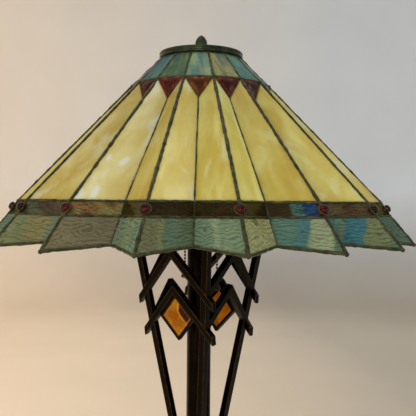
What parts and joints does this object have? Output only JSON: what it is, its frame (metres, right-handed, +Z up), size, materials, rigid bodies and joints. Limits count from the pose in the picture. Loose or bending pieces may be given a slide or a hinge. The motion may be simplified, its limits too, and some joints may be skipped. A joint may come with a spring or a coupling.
{
  "type": "table lamp",
  "caption": "Table lamp with a pleated conical leaded-glass shade, bead pull chains and a dark bronze lattice stand on a stepped square foot.",
  "frame": {"origin": "on the table, under the centre of the foot", "axes": "+Z up along the column; -Y is the front strut; the foot's sides and the lattice panels face the diagonals"},
  "size_m": [0.4584, 0.4584, 0.6563],
  "materials": {
    "crown_glass": "streaky blue-green art glass",
    "ruby_glass": "hammered cathedral glass",
    "amber_panel_glass": "mottled cream and amber opalescent glass",
    "band_glass": "rippled wine and copper glass",
    "water_glass": "rippled water glass, teal to grey-brown",
    "jewel_glass": "polished cabochon",
    "patina_solder": "dark bronze-green patina",
    "brass": "plain",
    "cap_bronze": "dark patina",
    "dark_bronze": "satin dark bronze",
    "amber_square_glass": "textured cathedral glass",
    "zinc_steel": "plated",
    "aged_brass": "aged",
    "black_plastic": "moulded",
    "frosted_glass": "inside frosted",
    "cast_iron": "raw",
    "board": "pressed board",
    "felt": "felt"
  },
  "bodies": {
    "stand": {"screw_shells": "brass", "cap_nut": "brass", "cluster_nut": "brass", "column": "dark_bronze", "column_plug": "dark_bronze", "column_cup": "dark_bronze", "top_spider": "dark_bronze", "strut_front": "dark_bronze", "strut_right": "dark_bronze", "strut_back": "dark_bronze", "strut_left": "dark_bronze", "chevrons_front_left": "dark_bronze", "chevrons_front_right": "dark_bronze", "chevrons_back_right": "dark_bronze", "chevrons_back_left": "dark_bronze", "lower_collar": "dark_bronze", "foot_casting": "dark_bronze", "diamond_frame_front": "dark_bronze", "diamond_frame_back": "dark_bronze", "cluster_body": "dark_bronze", "socket_caps": "dark_bronze", "socket_shell_left": "dark_bronze", "socket_shell_right": "dark_bronze", "chain_outlet_left": "dark_bronze", "chain_outlet_right": "dark_bronze", "diamond_glass_front": "amber_square_glass", "diamond_glass_back": "amber_square_glass", "lamp_pipe": "zinc_steel", "spider_screws": "zinc_steel", "foot_washer": "zinc_steel", "foot_nut": "zinc_steel", "bulb_base_left": "zinc_steel", "bulb_base_right": "zinc_steel", "socket_interiors": "black_plastic", "cord_bushing": "black_plastic", "bulb_glass_left": "frosted_glass", "bulb_glass_right": "frosted_glass", "foot_weight": "cast_iron", "foot_board": "board", "felt_pad": "felt"},
    "shade": {"crown_glass": "crown_glass", "ruby_triangles": "ruby_glass", "amber_panels": "amber_panel_glass", "band_glass": "band_glass", "skirt_glass": "water_glass", "ridge_jewels": "jewel_glass", "ridge_cames": "patina_solder", "valley_cames": "patina_solder", "crown_cames": "patina_solder", "band_cames": "patina_solder", "edge_cames": "patina_solder", "shade_ring": "brass", "vase_cap": "cap_bronze"},
    "finial_seat": {"finial_washer": "brass"},
    "finial": {"finial": "cap_bronze"},
    "pull_left": {"pull_chain_left": "aged_brass", "chain_pull_left": "aged_brass"},
    "pull_right": {"pull_chain_right": "aged_brass", "chain_pull_right": "aged_brass"}
  },
  "joints": [
    {"name": "shade_turn", "type": "hinge", "parent": "stand", "child": "shade", "pos_m": [0, 0, 0.63], "axis": [0, 0, 1], "continuous": true},
    {"name": "finial_lift", "type": "slide", "parent": "stand", "child": "finial_seat", "axis": [0, 0, 1], "range_m": [0, 0.003]},
    {"name": "finial_turn", "type": "hinge", "parent": "finial_seat", "child": "finial", "pos_m": [0, 0, 0.645], "axis": [0, 0, 1], "range_deg": [0, 1080]},
    {"name": "pull_left_travel", "type": "slide", "parent": "stand", "child": "pull_left", "axis": [0, 0, -1], "range_m": [0, 0.01], "stiffness_N_per_m": 300, "springref_m": -0.001},
    {"name": "pull_right_travel", "type": "slide", "parent": "stand", "child": "pull_right", "axis": [0, 0, -1], "range_m": [0, 0.01], "stiffness_N_per_m": 300, "springref_m": -0.001}
  ],
  "couplings": [
    {"joint": "finial_lift", "follows": "finial_turn", "m_per_rad": 0.00014961}
  ]
}
